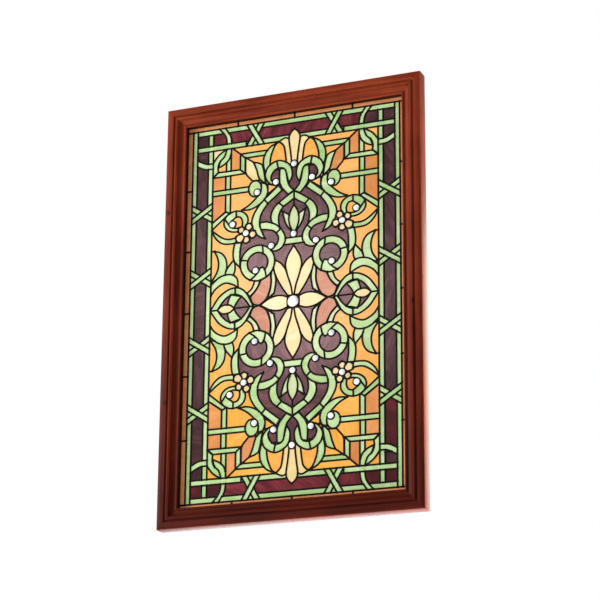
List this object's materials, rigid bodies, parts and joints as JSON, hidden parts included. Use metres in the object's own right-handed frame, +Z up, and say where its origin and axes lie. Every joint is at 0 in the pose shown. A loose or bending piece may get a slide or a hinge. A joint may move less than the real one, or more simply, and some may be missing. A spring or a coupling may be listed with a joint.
{
  "type": "stained glass window",
  "caption": "Tall rectangular leaded panel of opalescent strapwork, scrolls, petals and glass jewels in a moulded wooden frame.",
  "frame": {"origin": "middle of the back face of the top rail, where the window is fixed", "axes": "+Z up, +X to the right as seen from the front, -Y out of the front face"},
  "size_m": [0.508, 0.029, 0.813],
  "materials": {
    "wood": "reddish mahogany stain under a satin varnish, darker in the quirks",
    "lead": "soldered lead lines with a dark brown patina",
    "glass": "opalescent sheet glass, streaky, satin gloss",
    "jewel": "pressed clear to milky glass jewel"
  },
  "bodies": {
    "root": {"frame_top_rail": "wood", "frame_right_stile": "wood", "frame_bottom_rail": "wood", "frame_left_stile": "wood", "leading": "lead", "glass": "glass", "centre_jewel": "jewel", "lower_bud_jewel": "jewel", "lower_crown_jewel": "jewel", "lower_left_blossom_jewel": "jewel", "lower_left_hook_jewel": "jewel", "lower_left_loop_jewel": "jewel", "lower_left_ring_jewel": "jewel", "lower_left_scroll_jewel": "jewel", "lower_left_spiral_jewel": "jewel", "lower_right_blossom_jewel": "jewel", "lower_right_hook_jewel": "jewel", "lower_right_loop_jewel": "jewel", "lower_right_ring_jewel": "jewel", "lower_right_scroll_jewel": "jewel", "lower_right_spiral_jewel": "jewel", "upper_bud_jewel": "jewel", "upper_crown_jewel": "jewel", "upper_left_blossom_jewel": "jewel", "upper_left_hook_jewel": "jewel", "upper_left_loop_jewel": "jewel", "upper_left_ring_jewel": "jewel", "upper_left_scroll_jewel": "jewel", "upper_left_spiral_jewel": "jewel", "upper_right_blossom_jewel": "jewel", "upper_right_hook_jewel": "jewel", "upper_right_loop_jewel": "jewel", "upper_right_ring_jewel": "jewel", "upper_right_scroll_jewel": "jewel", "upper_right_spiral_jewel": "jewel"}
  },
  "joints": []
}
